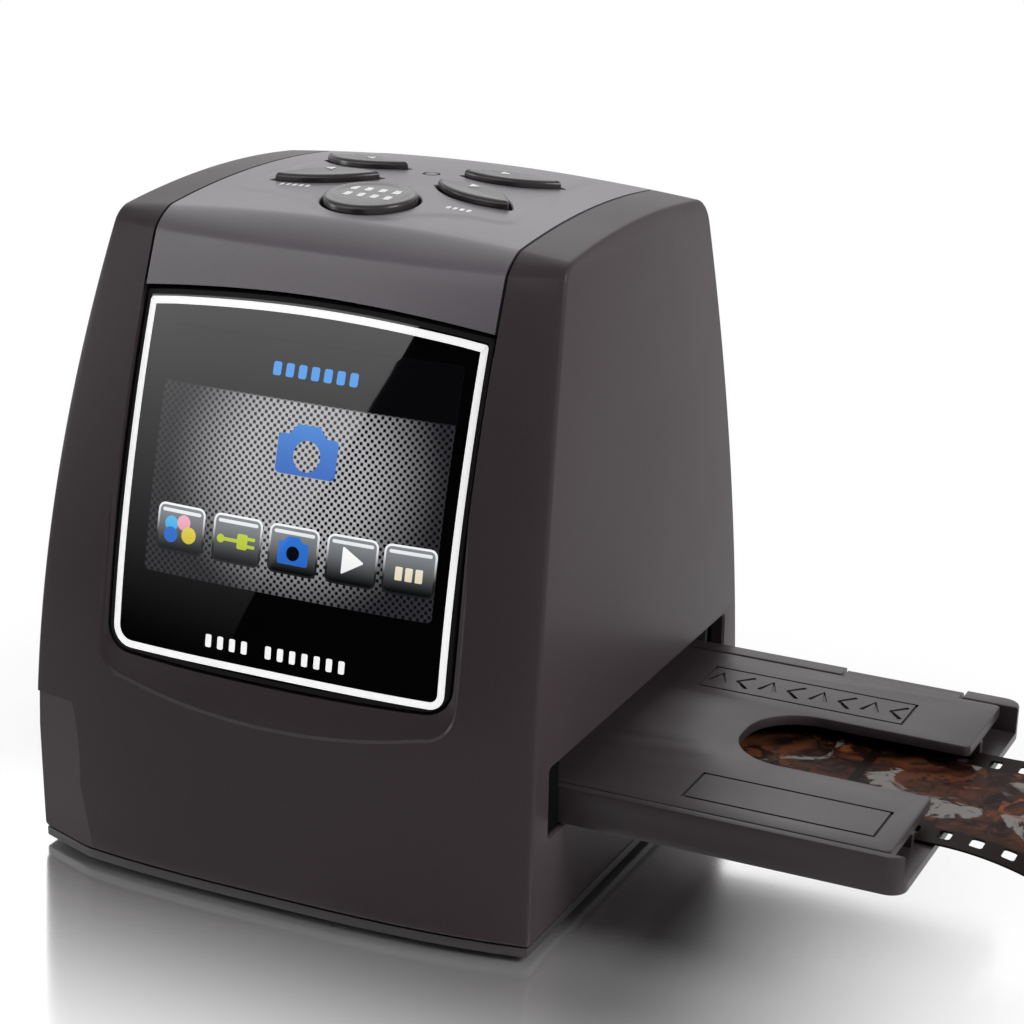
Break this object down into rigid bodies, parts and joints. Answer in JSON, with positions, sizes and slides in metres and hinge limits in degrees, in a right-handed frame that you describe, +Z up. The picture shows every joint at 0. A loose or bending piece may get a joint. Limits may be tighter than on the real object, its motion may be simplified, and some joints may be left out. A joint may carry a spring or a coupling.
{
  "type": "film negative scanner",
  "caption": "Desktop film negative scanner with a leaning front screen, top buttons, and a hinged film carrier that slides through a slot in both sides.",
  "frame": {"origin": "middle of the flat underside of the base cover", "axes": "+Z up, -Y the way the screen faces, +X the viewer's right, along which the film carrier slides"},
  "size_m": [0.1599, 0.0905, 0.1036],
  "materials": {
    "body_plastic": "fine textured ABS, warm charcoal",
    "top_plastic": "satin ABS, warm charcoal",
    "base_plastic": "textured ABS, dark charcoal",
    "window_gloss": "polished clear acrylic over a dark screen",
    "screen_glass": "glossy display glass",
    "plated_steel": "tin plated sheet steel",
    "circuit_board": "green solder mask",
    "chip_black": "moulded epoxy",
    "light_pipe": "tinted clear acrylic",
    "led_lens": "phosphor under clear silicone",
    "inner_black": "matte black moulding",
    "light_board_white": "white solder mask",
    "light_box_white": "white reflecting moulding",
    "diffuser_opal": "opal acrylic",
    "lens_glass": "coated lens glass",
    "carrier_plastic": "fine textured ABS, warm charcoal",
    "pin_steel": "drawn steel wire",
    "film_base": "orange masked negative film, glossy",
    "ribbon_amber": "polyimide flat cable",
    "foot_rubber": "matte black rubber",
    "screw_steel": "zinc plated steel",
    "button_plastic": "satin ABS, dark",
    "plunger_cream": "moulded nylon"
  },
  "bodies": {
    "scanner": {"backlight_led": "led_lens", "base_cover": "base_plastic", "base_screw_left_back": "screw_steel", "base_screw_left_front": "screw_steel", "base_screw_right_back": "screw_steel", "base_screw_right_front": "screw_steel", "board_screw_left_high": "screw_steel", "board_screw_left_low": "screw_steel", "board_screw_right_high": "screw_steel", "board_screw_right_low": "screw_steel", "button_board": "circuit_board", "button_ribbon": "ribbon_amber", "camera_bracket": "inner_black", "card_socket": "plated_steel", "diffuser": "diffuser_opal", "foot_left_back": "foot_rubber", "foot_left_front": "foot_rubber", "foot_right_back": "foot_rubber", "foot_right_front": "foot_rubber", "housing": "body_plastic", "image_processor": "chip_black", "image_sensor": "chip_black", "io_board": "circuit_board", "lcd_frame": "plated_steel", "lcd_panel": "screen_glass", "left_switch": "chip_black", "lens_barrel": "inner_black", "lens_element": "lens_glass", "light_board": "light_board_white", "light_box": "light_box_white", "lower_guide": "inner_black", "main_board": "circuit_board", "rear_cover": "body_plastic", "rear_left_switch": "chip_black", "rear_right_switch": "chip_black", "right_switch": "chip_black", "scan_switch": "chip_black", "sensor_board": "circuit_board", "sensor_ribbon": "ribbon_amber", "status_led": "led_lens", "status_light_pipe": "light_pipe", "top_cover": "top_plastic", "upper_guide": "inner_black", "usb_socket": "plated_steel", "window_lens": "window_gloss"},
    "scan_button": {"scan_button": "button_plastic", "scan_plunger": "plunger_cream"},
    "left_button": {"left_button": "button_plastic", "left_plunger": "plunger_cream"},
    "right_button": {"right_button": "button_plastic", "right_plunger": "plunger_cream"},
    "rear_left_button": {"rear_left_button": "button_plastic", "rear_left_plunger": "plunger_cream"},
    "rear_right_button": {"rear_right_button": "button_plastic", "rear_right_plunger": "plunger_cream"},
    "film_carrier": {"carrier_base": "carrier_plastic", "carrier_hinge_pin": "pin_steel"},
    "carrier_cover": {"carrier_cover": "carrier_plastic"},
    "film": {"film_strip": "film_base"}
  },
  "joints": [
    {"name": "scan_button_press", "type": "slide", "parent": "scanner", "child": "scan_button", "axis": [0, 0, -1], "range_m": [0, 0.0006], "stiffness_N_per_m": 400},
    {"name": "left_button_press", "type": "slide", "parent": "scanner", "child": "left_button", "axis": [0, 0, -1], "range_m": [0, 0.0006], "stiffness_N_per_m": 400},
    {"name": "right_button_press", "type": "slide", "parent": "scanner", "child": "right_button", "axis": [0, 0, -1], "range_m": [0, 0.0006], "stiffness_N_per_m": 400},
    {"name": "rear_left_button_press", "type": "slide", "parent": "scanner", "child": "rear_left_button", "axis": [0, 0, -1], "range_m": [0, 0.0006], "stiffness_N_per_m": 400},
    {"name": "rear_right_button_press", "type": "slide", "parent": "scanner", "child": "rear_right_button", "axis": [0, 0, -1], "range_m": [0, 0.0006], "stiffness_N_per_m": 400},
    {"name": "film_carrier_slide", "type": "slide", "parent": "scanner", "child": "film_carrier", "axis": [1, 0, 0], "range_m": [-0.045, 0.06]},
    {"name": "carrier_cover_hinge", "type": "hinge", "parent": "film_carrier", "child": "carrier_cover", "pos_m": [0, 0.031, 0.0213], "axis": [-1, 0, 0], "range_deg": [0, 3.5]},
    {"name": "film_pull", "type": "slide", "parent": "film_carrier", "child": "film", "axis": [1, 0, 0], "range_m": [0, 0.038]}
  ]
}
